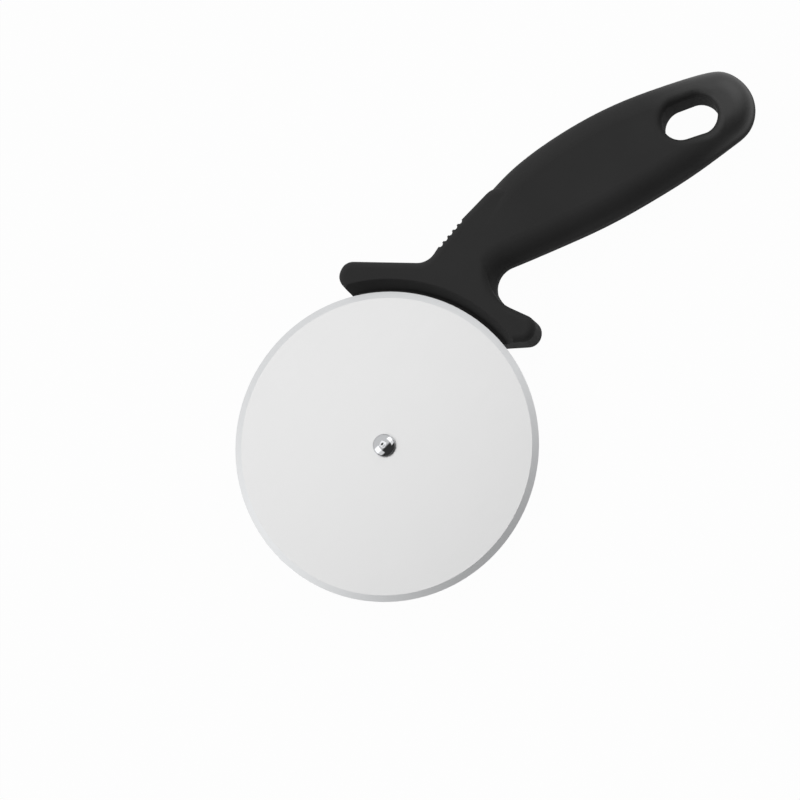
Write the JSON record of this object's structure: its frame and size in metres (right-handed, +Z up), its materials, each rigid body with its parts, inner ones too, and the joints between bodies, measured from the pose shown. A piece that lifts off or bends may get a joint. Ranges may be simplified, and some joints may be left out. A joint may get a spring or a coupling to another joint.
{
  "type": "pizza cutter wheel",
  "caption": "Pizza cutter with a round steel blade that turns freely in a curved guard, and a moulded grip with a thumb rest, finger notch and hanging slot.",
  "frame": {"origin": "centre of the whole cutter's box at the bench it lies on, on its back", "axes": "+Z up out of the blade's front face along the wheel's axle, +X from the wheel towards the butt of the grip"},
  "size_m": [0.212, 0.1029, 0.019],
  "materials": {
    "black_plastic": "moulded polypropylene with a fine matte texture",
    "blade_steel": "satin stainless steel, ground bevel",
    "rivet_steel": "bright plated steel",
    "sleeve_steel": "turned steel",
    "acetal": "natural white acetal"
  },
  "bodies": {
    "handle": {"handle": "black_plastic", "axle_rivet": "rivet_steel", "axle_pin": "rivet_steel", "front_washer": "acetal", "spacer_washer": "acetal", "axle_sleeve": "sleeve_steel", "rear_washer": "sleeve_steel"},
    "wheel": {"blade": "blade_steel", "blade_bush": "acetal"}
  },
  "joints": [
    {"name": "wheel_spin", "type": "hinge", "parent": "handle", "child": "wheel", "pos_m": [-0.05605, -0.00134, 0.015], "axis": [0, 0, 1], "continuous": true}
  ]
}
